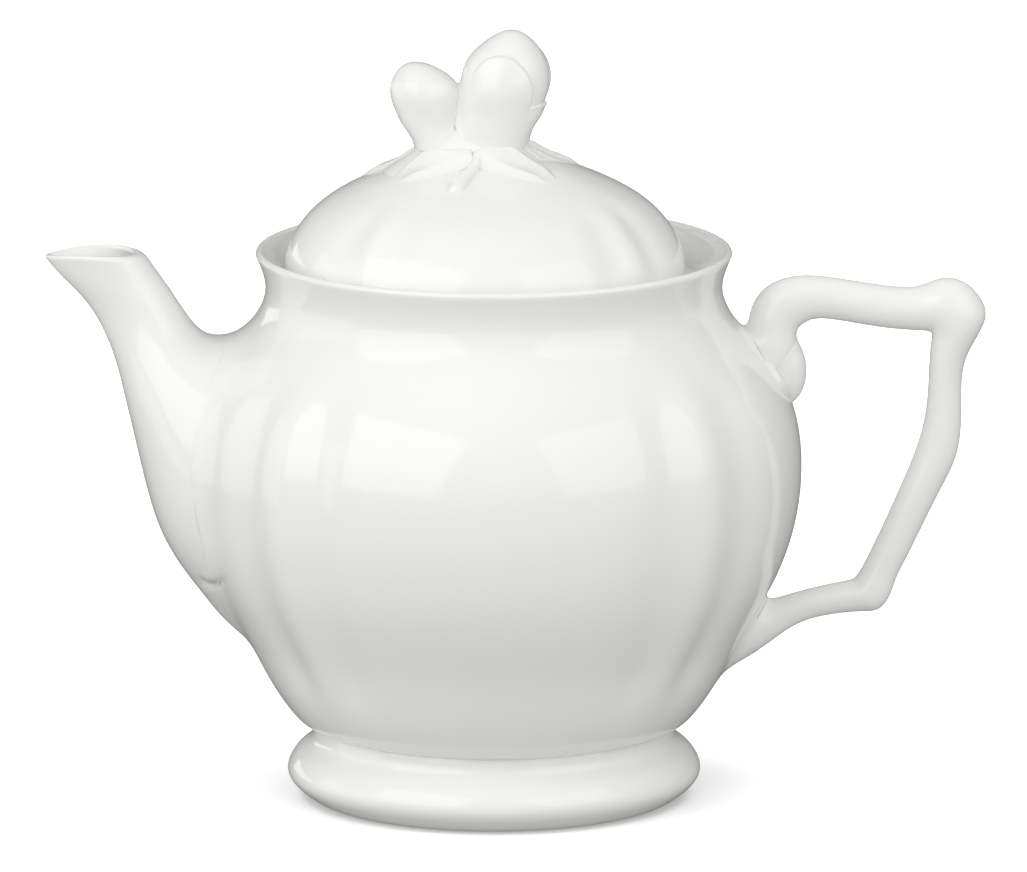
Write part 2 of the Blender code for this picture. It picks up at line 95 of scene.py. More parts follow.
WALL = 3.6
BODY_OUTLINE = [
    (44.2, 17.9), (46.6, 19.2), (48.6, 21.2), (53.4, 28.1), (59.2, 38.9),
    (67.7, 54.1), (72.3, 68.0), (73.5, 80.5), (71.9, 93.0), (67.2, 103.2),
    (61.0, 110.9), (56.3, 117.3), (54.5, 123.6), (55.3, 127.8), (56.8, 131.6),
]
LIP_RADIUS = 1.1
BASE_Z = 17.4
FLOOR_Z = 21.4
NECK_INSIDE = [(54.5, 130.9), (53.2, 128.6), (51.6, 126.4), (50.9, 125.0)]
LEDGE_OUTLINE = [
    (50.8, 124.6), (50.4, 124.15), (49.9, 124.0), (47.0, 124.0), (43.9, 124.0), (43.3, 123.8),
    (43.0, 123.3), (43.0, 121.8), (43.3, 121.1), (44.0, 120.8), (47.0, 120.6), (49.6, 119.6),
]
CENTRE_RADIUS = 0.5             # of the tiny flat facet where a turned face closes

RIB_SPACING = 90.0
RIB_HEIGHT = 0.7
RIB_WIDTH = 4.5
GROOVE_DEPTH = 0.9
GROOVE_WIDTH = 5.5
GROOVE_OFFSET = 9.5
PANEL_RELIEF = 0.6
LID_RELIEF_SHARE = 0.8
LID_RIB_TURN = 6.5

FOOT_OUTLINE = [
    (42.6, 18.6), (43.2, 16.6), (43.4, 15.0), (44.0, 13.7), (45.4, 12.5), (47.1, 11.1),
    (48.5, 9.2), (49.3, 7.3), (49.35, 5.9), (48.7, 4.4), (47.1, 2.7), (45.0, 1.1),
    (43.3, 0.25), (41.8, 0.0),
]
FOOT_CONTACT_RADIUS = 40.2
FOOT_INSIDE = [(38.8, 0.0), (37.8, 0.6), (37.3, 2.2), (37.5, 8.0), (38.2, 17.0)]
FOOT_TOP = (40.0, 18.2)

LID_OUTLINE = [
    (46.6, 124.4), (47.5, 125.6), (47.8, 128.2), (47.3, 131.6), (45.8, 135.6),
    (43.2, 139.6), (39.4, 143.4), (34.6, 146.6), (29.0, 149.4), (23.0, 151.9),
    (17.0, 154.1), (11.0, 155.6), (5.0, 156.2),
]
LID_CROWN_Z = 156.3
LID_UNDER = [
    (40.5, 124.4), (40.6, 127.4), (42.2, 130.0), (42.2, 133.2), (40.0, 137.2), (36.4, 140.8),
    (32.0, 143.6), (27.0, 146.0), (21.5, 148.3), (16.0, 150.4), (10.0, 151.9), (0.0, 152.6),
]
FLANGE_OUTLINE = [
    (40.35, 127.2), (40.2, 124.0), (40.2, 111.6), (39.9, 110.8), (39.0, 110.5), (38.2, 110.5),
    (37.4, 110.8), (37.2, 111.5), (37.2, 124.0), (38.6, 127.6),
]

# Each spout station has an outer point x, z, an inner point x, z, half a width and a keel.
SPOUT_STATIONS = [
    (-106.7, 130.3, -82.7, 130.7, 8.4, 0.34),
    (-103.3, 126.4, -80.0, 126.8, 8.5, 0.26),
    (-98.3, 121.2, -76.6, 121.9, 9.0, 0.20),
    (-94.4, 115.6, -73.0, 116.4, 9.9, 0.14),
    (-91.8, 110.0, -68.0, 111.2, 12.0, 0.10),
    (-89.8, 104.0, -61.0, 108.0, 15.4, 0.06),
    (-88.0, 96.6, -56.0, 102.0, 19.4, 0.04),
    (-86.0, 88.0, -52.0, 92.0, 22.8, 0.03),
    (-83.4, 76.8, -50.0, 80.0, 25.0, 0.02),
    (-80.0, 65.6, -48.0, 68.0, 24.8, 0.02),
    (-75.2, 56.6, -46.0, 57.0, 21.0, 0.02),
    (-69.6, 48.9, -44.0, 48.0, 15.5, 0.02),
    (-64.0, 42.2, -42.0, 41.0, 9.5, 0.02),
    (-58.6, 38.4, -41.0, 37.0, 6.0, 0.02),
    (-52.0, 36.0, -40.0, 34.0, 4.0, 0.02),
]
SPOUT_WALL = 2.4
SPOUT_SINK = 2.6                # how far a stuck-on piece reaches below the pot's face
BORE_SINK = 1.8
BORE_MOUTH = (-107.4, 130.5, -83.6, 131.1, 9.2, 0.30)
SPOUT_LIP_BULGE = 1.15
SPOUT_LIP_STEPS = 7
SPOUT_SIDE_LIFT = 0.7
FOLD_X, FOLD_Z = -67.2, 51.6    # end of the rolled fold on each side of the spout's root
FOLD_HEIGHT = 0.75
NICK_DEPTH = 0.48
NICK_RADIUS = 2.9
STRAINER_RADIUS = 1.9
STRAINER_ROWS = [(64.0, 2), (72.0, 3), (80.0, 2), (88.0, 3), (96.0, 2)]
STRAINER_PITCH = 7.6
STRAINER_PIN_LENGTH = 16.0
VENT_RADIUS = 1.6
VENT_REACH = 27.0
VENT_ANGLE = 62.0
VENT_PIN_LENGTH = 20.0

# Each handle station has an outer point x, z, an inner point x, z and half a width.
HANDLE_SINK = 1.8
HANDLE_STATIONS = [
    (57.5, 101.0, 64.5, 98.5, 6.0), (59.0, 104.5, 67.4, 101.4, 6.2),
    (61.0, 111.0, 72.1, 107.4, 5.9),
    (61.5, 118.6, 72.3, 112.6, 5.4), (64.6, 123.1, 73.6, 114.4, 5.2),
    (70.6, 125.8, 76.0, 115.6, 5.0), (80.5, 125.7, 81.5, 115.5, 4.8),
    (96.8, 123.4, 96.0, 113.3, 4.9), (102.7, 124.1, 102.0, 112.9, 5.2),
    (107.5, 125.6, 103.7, 112.7, 5.8), (111.6, 124.8, 104.2, 112.4, 6.2),
    (115.8, 121.0, 104.4, 111.8, 6.4), (117.3, 117.0, 104.4, 110.8, 6.2),
    (115.9, 112.6, 104.2, 109.4, 5.8), (113.0, 107.0, 103.9, 105.6, 5.1),
    (111.6, 94.0, 103.2, 94.4, 4.5), (110.4, 82.5, 101.0, 84.8, 4.7),
    (106.6, 74.0, 97.9, 76.8, 4.7), (98.3, 56.9, 90.4, 60.0, 4.4),
    (95.9, 51.6, 87.8, 54.8, 4.5), (94.0, 47.0, 86.6, 53.0, 4.8),
    (92.0, 45.0, 86.0, 52.4, 4.8), (88.4, 44.4, 84.6, 51.9, 4.4),
    (80.4, 43.6, 78.8, 50.7, 3.9), (70.8, 40.3, 68.4, 47.8, 4.3),
    (64.9, 36.1, 64.0, 46.4, 5.6), (58.0, 32.0, 58.0, 46.0, 7.2), (52.0, 30.0, 52.0, 46.0, 7.6),
]

PAD_Z = 102.8
PAD_HALF_WIDTH = 7.6
PAD_HALF_LENGTH = 8.8
PAD_THICKNESS = 0.95
SCROLL_CENTRE = (68.9, 0.0, 103.2)
SCROLL_RADII = (5.7, 4.9, 8.6)
SCROLL_FILLET = 2.0


# ---------------------------------------------------------------- curves

def spline(points, steps):
    """Natural cubic spline through the points, with `steps` spans between each two."""
    knots = np.array(points, dtype=float)
    spans = np.linalg.norm(np.diff(knots, axis=0), axis=1)
    count = len(knots)
    matrix = np.eye(count)
    bends = np.zeros_like(knots)
    for i in range(1, count - 1):
        before, after = spans[i - 1], spans[i]
        matrix[i, i - 1:i + 2] = before, 2 * (before + after), after
        bends[i] = 6 * ((knots[i + 1] - knots[i]) / after - (knots[i] - knots[i - 1]) / before)
    second = np.linalg.solve(matrix, bends)
    curve = []
    for i, span in enumerate(spans):
        for done in np.arange(steps) / steps * span:
            left = span - done
            curve.append((second[i] * left ** 3 + second[i + 1] * done ** 3) / (6 * span)
                         + (knots[i] / span - second[i] * span / 6) * left
                         + (knots[i + 1] / span - second[i + 1] * span / 6) * done)
    curve.append(knots[-1])
    return np.array(curve)


def even(curve, count):
    """The same curve, at evenly spaced points."""
    curve = np.asarray(curve, dtype=float)
    length = np.concatenate([[0.0], np.cumsum(np.linalg.norm(np.diff(curve, axis=0), axis=1))])
    at = np.linspace(0.0, length[-1], count)
    return np.stack([np.interp(at, length, curve[:, k]) for k in range(curve.shape[1])], axis=1)


def ramp(value, low, high):
    """Smooth step from 0 at low to 1 at high."""
    t = np.clip((np.asarray(value, dtype=float) - low) / (high - low), 0.0, 1.0)
    return t * t * t * (t * (6 * t - 15) + 10)


BODY_CURVE = spline(BODY_OUTLINE, 40)
LID_CURVE = spline(LID_OUTLINE, 30)


def from_rib(angle):
    """Degrees from the nearest of the four ribs, which stand half way between the axes."""
    return angle % RIB_SPACING - RIB_SPACING / 2


def lobes(angle):
    """Height of the ribs, the grooves beside them and the flattened panels between them."""
    turn = from_rib(angle)
    rib = RIB_HEIGHT * np.exp(-(turn / RIB_WIDTH) ** 2)
    groove = GROOVE_DEPTH * np.exp(-((np.abs(turn) - GROOVE_OFFSET) / GROOVE_WIDTH) ** 2)
    panel = PANEL_RELIEF * 0.5 * (1 + np.cos(np.radians(4 * turn)))
    return rib - groove - panel


def body_relief(angle, z):
    """Relief of the belly, which fades out above the foot and below the neck."""
    return lobes(angle) * ramp(z, 22.0, 42.0) * (1 - ramp(z, 98.0, 115.0))


def lid_relief(angle, z):
    """Relief of the lid, which fades out at its edge and towards the finial."""
    fade = ramp(z, 124.5, 137.0) * (1 - ramp(z, 140.0, 151.0))
    return LID_RELIEF_SHARE * lobes(angle - LID_RIB_TURN) * fade


def body_radius(angle, z):
    """Outer radius of the pot with its ribs, at an angle in degrees and a height."""
    return np.interp(z, BODY_CURVE[:, 1], BODY_CURVE[:, 0]) + body_relief(angle, z)


BODY_SLOPE = np.gradient(BODY_CURVE[:, 0], BODY_CURVE[:, 1])


def above_body(points):
    """Rough distance of each point outside the pot's outer face."""
    angle = np.degrees(np.arctan2(points[..., 1], points[..., 0]))
    rho = np.hypot(points[..., 0], points[..., 1])
    slope = np.interp(points[..., 2], BODY_CURVE[:, 1], BODY_SLOPE)
    return (rho - body_radius(angle, points[..., 2])) / np.sqrt(1 + slope ** 2)


def lid_top(distance):
    """Height of the lid's plain upper face at a distance from its axis."""
    curve = LID_CURVE[::-1]
    return np.interp(distance, np.concatenate([[0.0], curve[:, 0]]),
                     np.concatenate([[LID_CROWN_Z], curve[:, 1]]))


# ---------------------------------------------------------------- meshes

def ring_faces(rows, columns, spans):
    """Four-sided faces between each ring of points and the next, all the way round."""
    faces = []
    for r in range(spans):
        low = r * columns
        high = ((r + 1) % rows) * columns
        for c in range(columns):
            d = (c + 1) % columns
            faces.append((low + c, low + d, high + d, high + c))
    return faces


def piece(name, grid, x, body, nodes, closed=False):
    """Object from a grid of points: rows of rings in millimetres. Rings run all the way
    round; the first and last rows are capped, or joined to each other when closed."""
    rows, columns = grid.shape[:2]
    points = [tuple(p) for p in grid.reshape(-1, 3)]
    faces = ring_faces(rows, columns, rows if closed else rows - 1)
    if not closed:
        points.append(tuple(grid[0].mean(axis=0)))
        faces += [(len(points) - 1, (c + 1) % columns, c) for c in range(columns)]
        points.append(tuple(grid[-1].mean(axis=0)))
        last = (rows - 1) * columns
        faces += [(len(points) - 1, last + c, last + (c + 1) % columns) for c in range(columns)]
    bm = bmesh.new()
    verts = [bm.verts.new((p[0] + x, p[1], p[2])) for p in points]
    for face in faces:
        bm.faces.new([verts[k] for k in face])
    bmesh.ops.remove_doubles(bm, verts=bm.verts, dist=1e-4)
    bmesh.ops.recalc_face_normals(bm, faces=bm.faces)
    bmesh.ops.scale(bm, vec=(MM, MM, MM), verts=bm.verts)
    mesh = bpy.data.meshes.new(name)
    bm.to_mesh(mesh)
    bm.free()
    mesh.shade_smooth()
    obj = bpy.data.objects.new(name, mesh)
    bpy.context.scene.collection.objects.link(obj)
    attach(obj, body)
    if nodes:
        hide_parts(*nodes)
    return obj


def surface_field(grid, inside):
    """Signed distance from a grid's surface and its direction, as a function of points.
    inside is any point that the surface encloses."""
    rows, columns = grid.shape[:2]
    corners = [Vector(p) for p in grid.reshape(-1, 3)]
    tree = BVHTree.FromPolygons(corners, ring_faces(rows, columns, rows - 1))
    near, near_normal = tree.find_nearest(Vector(inside))[:2]
    sense = -1.0 if (Vector(inside) - near).dot(near_normal) > 0 else 1.0

    def field(points):
        distance = np.empty(len(points))
        direction = np.empty((len(points), 3))
        for i, point in enumerate(points):
            place, normal, _, apart = tree.find_nearest(Vector(point))
            away = Vector(point) - place
            side = math.copysign(1.0, away.dot(normal) * sense)
            distance[i] = side * apart
            direction[i] = away * side / apart if apart > 0.05 else normal * sense
        return distance, direction
    return field


def body_field(points):
    """Distance outside the pot's face and its direction."""
    step = 0.05
    slopes = []
    for k in range(3):
        shift = np.zeros(3)
        shift[k] = step
        slopes.append((above_body(points + shift) - above_body(points - shift)) / (2 * step))
    return above_body(points), np.stack(slopes, axis=-1)


def outward_normals(grid, inside):
    """Unit normals of a grid, turned away from an inner point or from one for each row."""
    along = np.gradient(grid, axis=0)
    across = (np.roll(grid, -1, axis=1) - np.roll(grid, 1, axis=1)) / 2
    normal = np.cross(across, along)
    normal = normal / np.maximum(np.linalg.norm(normal, axis=-1, keepdims=True), 1e-9)
    return normal * np.sign((normal * (grid - inside)).sum(axis=-1).mean())


def weld(points, mask, own, other, width):
    """Move a surface onto the soft union of itself and its neighbour. own and other are
    their distance fields, and width(points) is the fillet's width. Past the joint the
    surface dives under its neighbour again."""
    moved = points.copy()
    base = points[mask]
    k = width(base)
    start = other(base)[0]
    close = start < 1.2 * k
    here = base[close]
    k = k[close]
    for _ in range(6):
        a, slope_a = own(here)
        b, slope_b = other(here)
        blend = np.clip(1 - np.abs(a - b) / k, 0.0, 1.0)
        minor = 0.5 * blend ** 2
        share = np.where(a < b, 1 - minor, minor)[:, None]
        slope = share * slope_a + (1 - share) * slope_b
        value = np.minimum(a, b) - blend ** 3 * k / 6
        stride = value[:, None] * slope / np.maximum((slope ** 2).sum(axis=1, keepdims=True), 0.2)
        here = here - np.clip(stride, -1.5, 1.5)
    keep = ramp(start[close], -0.46 * k, -0.20 * k)[:, None]
    result = base.copy()
    result[close] = base[close] + (here - base[close]) * keep
    moved[mask] = result
    return moved


# ---------------------------------------------------------------- pot body

def angle_samples(count):
    """Angles round the pot, closer together at the ribs and where pieces are stuck on."""
    angle = np.linspace(0.0, 360.0, 7201)
    density = 1.0 + 0.5 * np.exp(-(from_rib(angle) / 14.0) ** 2)
    density += 0.9 * np.exp(-((angle - 180.0) / 34.0) ** 4)
    from_handle = (angle + 180.0) % 360.0 - 180.0
    density += 0.9 * np.exp(-(from_handle / 9.0) ** 4)
    total = np.concatenate([[0.0], np.cumsum((density[1:] + density[:-1]) / 2)])
    return np.interp(np.arange(count) / count * total[-1], total, angle)


def revolve(outline, angles, relief=None):
    """Rings of points from radius and height points, with a relief(angle, height) if given."""
    outline = np.asarray(outline, dtype=float)
    radius, height, turn = np.broadcast_arrays(outline[:, 0:1], outline[:, 1:2],
                                               np.asarray(angles)[None, :])
    if relief is not None:
        radius = radius + relief(turn, height) * ramp(radius, 10.0, 40.0)
    return np.stack([radius * np.cos(np.radians(turn)), radius * np.sin(np.radians(turn)),
                     height], axis=-1)


def arc(centre, radius, start, end, steps):
    """Points of a circle between two angles in degrees, as radius and height."""
    angles = np.radians(np.linspace(start, end, steps + 1))
    return np.stack([centre[0] + radius * np.cos(angles), centre[1] + radius * np.sin(angles)],
                    axis=1)


BODY_ANGLES = angle_samples(320)
outer_curve = even(BODY_CURVE, 150)
body_outer = revolve(outer_curve, BODY_ANGLES, body_relief)
lip = arc((BODY_OUTLINE[-1][0] - LIP_RADIUS, BODY_OUTLINE[-1][1]), LIP_RADIUS, 20, 175, 9)
neck = even(spline(NECK_INSIDE, 8), 9)
tangent = np.gradient(BODY_CURVE, axis=0)
tangent /= np.linalg.norm(tangent, axis=1, keepdims=True)
inner_curve = np.stack([BODY_CURVE[:, 0] - tangent[:, 1] * WALL,
                        BODY_CURVE[:, 1] + tangent[:, 0] * WALL], axis=1)
inner_curve = inner_curve[(inner_curve[:, 1] > 25.0) & (inner_curve[:, 1] < 115.5)][::-1]
inner_curve = even(spline(np.concatenate([[(50.4, 118.8)], inner_curve[20::36],
                                          [(43.5, 22.6), (39.0, FLOOR_Z)]]), 8), 62)
under = [(CENTRE_RADIUS, BASE_Z), (20.0, BASE_Z), (38.0, BASE_Z), (43.0, BASE_Z + 0.1)]
floor_inside = [(30.0, FLOOR_Z), (15.0, FLOOR_Z), (CENTRE_RADIUS, FLOOR_Z)]

# ---------------------------------------------------------------- spout surface

def sections(stations, segments, shrink=0.0):
    """Oval sections between an outer and an inner point, narrowed towards the outer one."""
    stations = np.asarray(stations)
    angle = np.linspace(0.0, 2 * math.pi, segments, endpoint=False)[None, :]
    middle = np.zeros(len(stations))
    outer_point = np.stack([stations[:, 0], middle, stations[:, 1]], axis=1)
    inner_point = np.stack([stations[:, 2], middle, stations[:, 3]], axis=1)
    centre = ((outer_point + inner_point) / 2)[:, None, :]
    half = (inner_point - outer_point) / 2
    reach = np.linalg.norm(half, axis=1)
    along = (half / reach[:, None])[:, None, :]
    keel = stations[:, 5][:, None] if stations.shape[1] > 5 else 0.0
    width = (stations[:, 4][:, None] - shrink) * np.sin(angle) * (1 + keel * np.cos(angle))
    points = centre + along * ((reach[:, None] - shrink) * np.cos(angle))[..., None]
    points[..., 1] += width
    return points


def trim(columns_grid, depth, rows):
    """Cut every lengthwise line where it sinks to a depth below the pot's face, and spread
    its points evenly again."""
    sunk = above_body(columns_grid) + depth
    count, segments = columns_grid.shape[:2]
    result = np.empty((rows, segments, 3))
    for c in range(segments):
        below = np.nonzero(sunk[:, c] < 0)[0]
        if len(below) and below[0] > 0:
            r = below[0]
            share = sunk[r - 1, c] / (sunk[r - 1, c] - sunk[r, c])
            end = r - 1 + share
        else:
            end = count - 1
        at = np.linspace(0.0, end, rows)
        for k in range(3):
            result[:, c, k] = np.interp(at, np.arange(count), columns_grid[:, c, k])
    return result


SPOUT_SEGMENTS = 176
spout_dense = sections(spline(SPOUT_STATIONS, 30), SPOUT_SEGMENTS)
bore_dense = sections(spline([BORE_MOUTH] + SPOUT_STATIONS[1:], 30), SPOUT_SEGMENTS, SPOUT_WALL)
spout_outer = trim(spout_dense, SPOUT_SINK, 230)
spout_bore = trim(bore_dense, BORE_SINK, 90)
spout_field = surface_field(sections(spline(SPOUT_STATIONS, 24), 288), (-80.0, 0.0, 100.0))

HANDLE_SEGMENTS = 72
handle_dense = sections(spline(HANDLE_STATIONS, 24), HANDLE_SEGMENTS)
handle_field = surface_field(sections(spline(HANDLE_STATIONS, 16), 96), (88.0, 0.0, 119.5))


def spout_fillet(points):
    """Width of the fillet round the spout's root: wide at the shoulder, tight at the heel."""
    return 4.5 + 8.5 * ramp(points[..., 2], 48.0, 104.0)


def handle_fillet(points):
    """Width of the fillet at the handle's two ends, wide only on the upper one's neck side."""
    z = points[..., 2]
    return 1.0 + 6.0 * ramp(z, 105.0, 111.5) + 5.0 * (1 - ramp(z, 60.0, 90.0))


angle_off = np.abs((np.degrees(np.arctan2(body_outer[..., 1], body_outer[..., 0])) % 360.0) - 180.0)
near_spout = (angle_off < 48.0) & (body_outer[..., 2] > 27.0) & (body_outer[..., 2] < 126.0)
body_outer = weld(body_outer, near_spout, body_field, spout_field, spout_fillet)
near_handle = (angle_off > 164.0) & (body_outer[..., 2] > 22.0) & (body_outer[..., 2] < 58.0)
body_outer = weld(body_outer, near_handle, body_field, handle_field, handle_fillet)
near_top = (angle_off > 164.0) & (body_outer[..., 2] > 103.0) & (body_outer[..., 2] < 122.0)
body_outer = weld(body_outer, near_top, body_field, handle_field, handle_fillet)

spout_outer = weld(spout_outer, above_body(spout_outer) < 14.0, spout_field, body_field, spout_fillet)


def root_fold(points):
    """The rolled fold low on each side of the spout's root, and the nick below its end."""
    across = points[..., 0] - FOLD_X
    up = points[..., 2] - 0.2 * np.abs(points[..., 1]) - FOLD_Z
    side = ramp(np.abs(points[..., 1]), 3.0, 7.0)
    fold = FOLD_HEIGHT * np.exp(-(across / 2.3) ** 2) * ramp(up, -0.8, 1.8) * (1 - ramp(up, 3.0, 17.0))
    reach = np.hypot(across, up - 2.2)
    below = ramp(-(up - 2.2) / np.maximum(reach, 0.1), -0.1, 0.8)
    nick = NICK_DEPTH * np.exp(-((reach - NICK_RADIUS) / 0.85) ** 2) * below
    return (fold - nick) * side


fold_normals = outward_normals(spout_outer, spout_outer.mean(axis=1, keepdims=True))
spout_outer = spout_outer + fold_normals * root_fold(spout_outer)[..., None]
body_normals = outward_normals(body_outer, np.array([0.0, 0.0, 75.0]))
fold_here = root_fold(body_outer) * (angle_off < 60.0)
body_outer = body_outer + body_normals * fold_here[..., None]

lip_rows = []
mouth_out = spout_outer[0]
mouth_in = spout_bore[0]
rim_out = mouth_out - spout_outer[3]
rim_out /= np.linalg.norm(rim_out, axis=1, keepdims=True)
for k in range(1, SPOUT_LIP_STEPS):
    turn = math.pi * k / SPOUT_LIP_STEPS
    middle = (mouth_out + mouth_in) / 2
    half = (mouth_out - mouth_in) / 2
    lip_rows.append(middle + half * math.cos(turn) + rim_out * SPOUT_LIP_BULGE * math.sin(turn))
spout_grid = np.concatenate([spout_outer[::-1], np.array(lip_rows), spout_bore], axis=0)
spout_turn = np.linspace(0.0, 2 * math.pi, SPOUT_SEGMENTS, endpoint=False)
side_lift = SPOUT_SIDE_LIFT * ramp(spout_grid[..., 2], 124.0, 131.0) * np.sin(spout_turn) ** 2
spout_grid[..., 2] += side_lift
spout_grid[..., 0] = np.maximum(spout_grid[..., 0], CAD_BOX[0][0] / MM - POT_X)
piece("spout", spout_grid, POT_X, "pot", ["spout"], closed=True)

# ---------------------------------------------------------------- handle

half_way = len(handle_dense) // 2
upper_half = trim(handle_dense[:half_way + 1][::-1], HANDLE_SINK, 230)[::-1]
lower_half = trim(handle_dense[half_way:], HANDLE_SINK, 230)
handle_grid = np.concatenate([upper_half[:-1], lower_half], axis=0)
handle_near = above_body(handle_grid) < 8.0
handle_grid = weld(handle_grid, handle_near, handle_field, body_field, handle_fillet)
piece("handle", handle_grid, POT_X, "pot", ["handle"])

body_grid = np.concatenate([
    revolve(under, BODY_ANGLES), body_outer, revolve(lip, BODY_ANGLES),
    revolve(neck, BODY_ANGLES), revolve(LEDGE_OUTLINE, BODY_ANGLES),
    revolve(inner_curve, BODY_ANGLES, body_relief), revolve(floor_inside, BODY_ANGLES)], axis=0)
body = piece("pot_body", body_grid, POT_X, "pot", ["pot_body"])


def strainer_pins():
    """Round pins, one for each hole of the strainer behind the spout."""
    bm = bmesh.new()
    for z, count in STRAINER_ROWS:
        for k in range(count):
            angle = math.radians(180.0 + (k - (count - 1) / 2) * STRAINER_PITCH)
            direction = Vector((math.cos(angle), math.sin(angle), 0.0))
            drilled = bmesh.ops.create_cone(
                bm, cap_ends=True, segments=24, radius1=STRAINER_RADIUS * MM,
                radius2=STRAINER_RADIUS * MM, depth=STRAINER_PIN_LENGTH * MM)["verts"]
            turn = direction.to_track_quat("Z", "Y").to_matrix()
            bmesh.ops.rotate(bm, verts=drilled, cent=(0, 0, 0), matrix=turn)
            centre = direction * (float(body_radius(180.0, z)) - WALL / 2)
            bmesh.ops.translate(bm, verts=drilled,
                                vec=((centre.x + POT_X) * MM, centre.y * MM, z * MM))
    return bm


def drill(target, bm):
    """Take the pins' volume out of the target's mesh."""
    mesh = bpy.data.meshes.new("drill_pins")
    bm.to_mesh(mesh)
    bm.free()
    cutter = bpy.data.objects.new("drill_pins", mesh)
    bpy.context.scene.collection.objects.link(cutter)
    modifier = target.modifiers.new("holes", "BOOLEAN")
    modifier.operation = "DIFFERENCE"
    modifier.solver = "EXACT"
    modifier.object = cutter
    graph = bpy.context.evaluated_depsgraph_get()
    drilled_mesh = bpy.data.meshes.new_from_object(target.evaluated_get(graph))
    target.modifiers.clear()
    old = target.data
    mesh_name = old.name
    target.data = drilled_mesh
    bpy.data.meshes.remove(old)
    drilled_mesh.name = mesh_name
    bpy.data.objects.remove(cutter, do_unlink=True)
    bpy.data.meshes.remove(mesh)


drill(body, strainer_pins())

# ---------------------------------------------------------------- foot

foot_angles = np.linspace(0.0, 360.0, 240, endpoint=False)
foot_outer = even(spline(FOOT_OUTLINE, 12), 70)
foot_inner = even(spline(FOOT_INSIDE, 8), 24)
foot_grid = np.concatenate([revolve(foot_outer, foot_angles),
                            revolve([(FOOT_CONTACT_RADIUS, 0.0)], foot_angles),
                            revolve(foot_inner, foot_angles),
                            revolve([FOOT_TOP], foot_angles)], axis=0)
piece("foot_ring", foot_grid, POT_X, "pot", ["foot_ring"], closed=True)

# ---------------------------------------------------------------- patches laid on a surface

def patch(place, outline, thickness, sink=0.5, rings=26, around=96, soft=0.75, detail=None):
    """Closed pad that swells softly out of a surface. place(u, v) gives a surface point and
    its normal, outline(angle) the pad's edge in u and v about its middle, and soft is the
    share of the way out where the edge starts to fall."""
    theta = np.linspace(0.0, 2 * math.pi, around, endpoint=False)
    edge = outline(theta)
    share = np.concatenate([np.linspace(0.02, soft, rings // 3, endpoint=False),
                            np.linspace(soft, 1.0, rings - rings // 3)])
    rows = []
    for s in share:
        u, v = edge[0] * s, edge[1] * s
        spot, normal = place(u, v)
        height = np.full(around, thickness * (1 - ramp(s, soft, 1.0)) - 0.06 * ramp(s, 0.9, 1.0))
        if detail is not None:
            height = height + detail(u, v, s)
        rows.append(spot + normal * height[:, None])
    under_rows = []
    for s in share[::-2]:
        u, v = edge[0] * s, edge[1] * s
        spot, normal = place(u, v)
        under_rows.append(spot - normal * (sink * (1 - s ** 6) ** 0.5 + 0.12))
    return np.array(rows + under_rows)


# ---------------------------------------------------------------- leaf pad under the handle's root

def shoulder_place(u, v):
    """Point and normal on the pot's shoulder, u across and v down the slope."""
    z = PAD_Z - v * 0.80
    angle = np.degrees(u / 66.0)
    radius = body_radius(angle, z)
    step = 0.2
    slope = (body_radius(angle, z + step) - body_radius(angle, z - step)) / (2 * step)
    turn = np.radians(angle)
    spot = np.stack([radius * np.cos(turn), radius * np.sin(turn), z], axis=-1)
    normal = np.stack([np.cos(turn), np.sin(turn), -slope], axis=-1)
    return spot, normal / np.linalg.norm(normal, axis=-1, keepdims=True)


def pad_outline(theta):
    width = PAD_HALF_WIDTH * (1 - 0.16 * np.cos(2 * theta))
    return width * np.sin(theta), -PAD_HALF_LENGTH * np.cos(theta)


def pad_detail(u, v, s):
    """Two rolled lines along the pad's edge, with a shallow line between them."""
    return (0.26 * np.exp(-((s - 0.87) / 0.035) ** 2) + 0.22 * np.exp(-((s - 0.76) / 0.035) ** 2)
            - 0.16 * np.exp(-((s - 0.815) / 0.025) ** 2))


pad_grid = patch(shoulder_place, pad_outline, PAD_THICKNESS, sink=1.2, rings=54, soft=0.80,
                 detail=pad_detail)
piece("handle_root_leaf", pad_grid, POT_X, "pot", ["handle_root_leaf"])


def egg(centre, radii, rings=72, around=96):
    """Egg-shaped closed grid."""
    polar = np.linspace(0.02, math.pi - 0.02, rings)[:, None]
    turn = np.linspace(0.0, 2 * math.pi, around, endpoint=False)[None, :]
    x, y, z = np.broadcast_arrays(radii[0] * np.sin(polar) * np.cos(turn),
                                  radii[1] * np.sin(polar) * np.sin(turn),
                                  radii[2] * np.cos(polar))
    return np.stack([centre[0] + x, centre[1] + y, centre[2] + z], axis=-1)


def scroll_fillet(points):
    """Width of the fillet between the scroll at the handle's root and the handle."""
    return np.full(len(points), SCROLL_FILLET)


scroll_grid = egg(SCROLL_CENTRE, SCROLL_RADII)
scroll_field = surface_field(scroll_grid, SCROLL_CENTRE)
scroll_met = weld(scroll_grid, scroll_grid[..., 2] > 94.0, scroll_field, handle_field, scroll_fillet)
piece("handle_root_scroll", scroll_met, POT_X, "pot", [])

# ---------------------------------------------------------------- lid

lid_angles = angle_samples(256) + LID_RIB_TURN
lid_outer = even(LID_CURVE, 120)
lid_under = even(spline(LID_UNDER, 6), 60)
lid_grid = np.concatenate([revolve([(0.4, LID_CROWN_Z)], lid_angles),
                           revolve(lid_outer[::-1], lid_angles, lid_relief),
                           revolve(lid_under[:-1], lid_angles)], axis=0)
lid = piece("lid_dome", lid_grid, LID_X, "lid", ["lid_dome"])


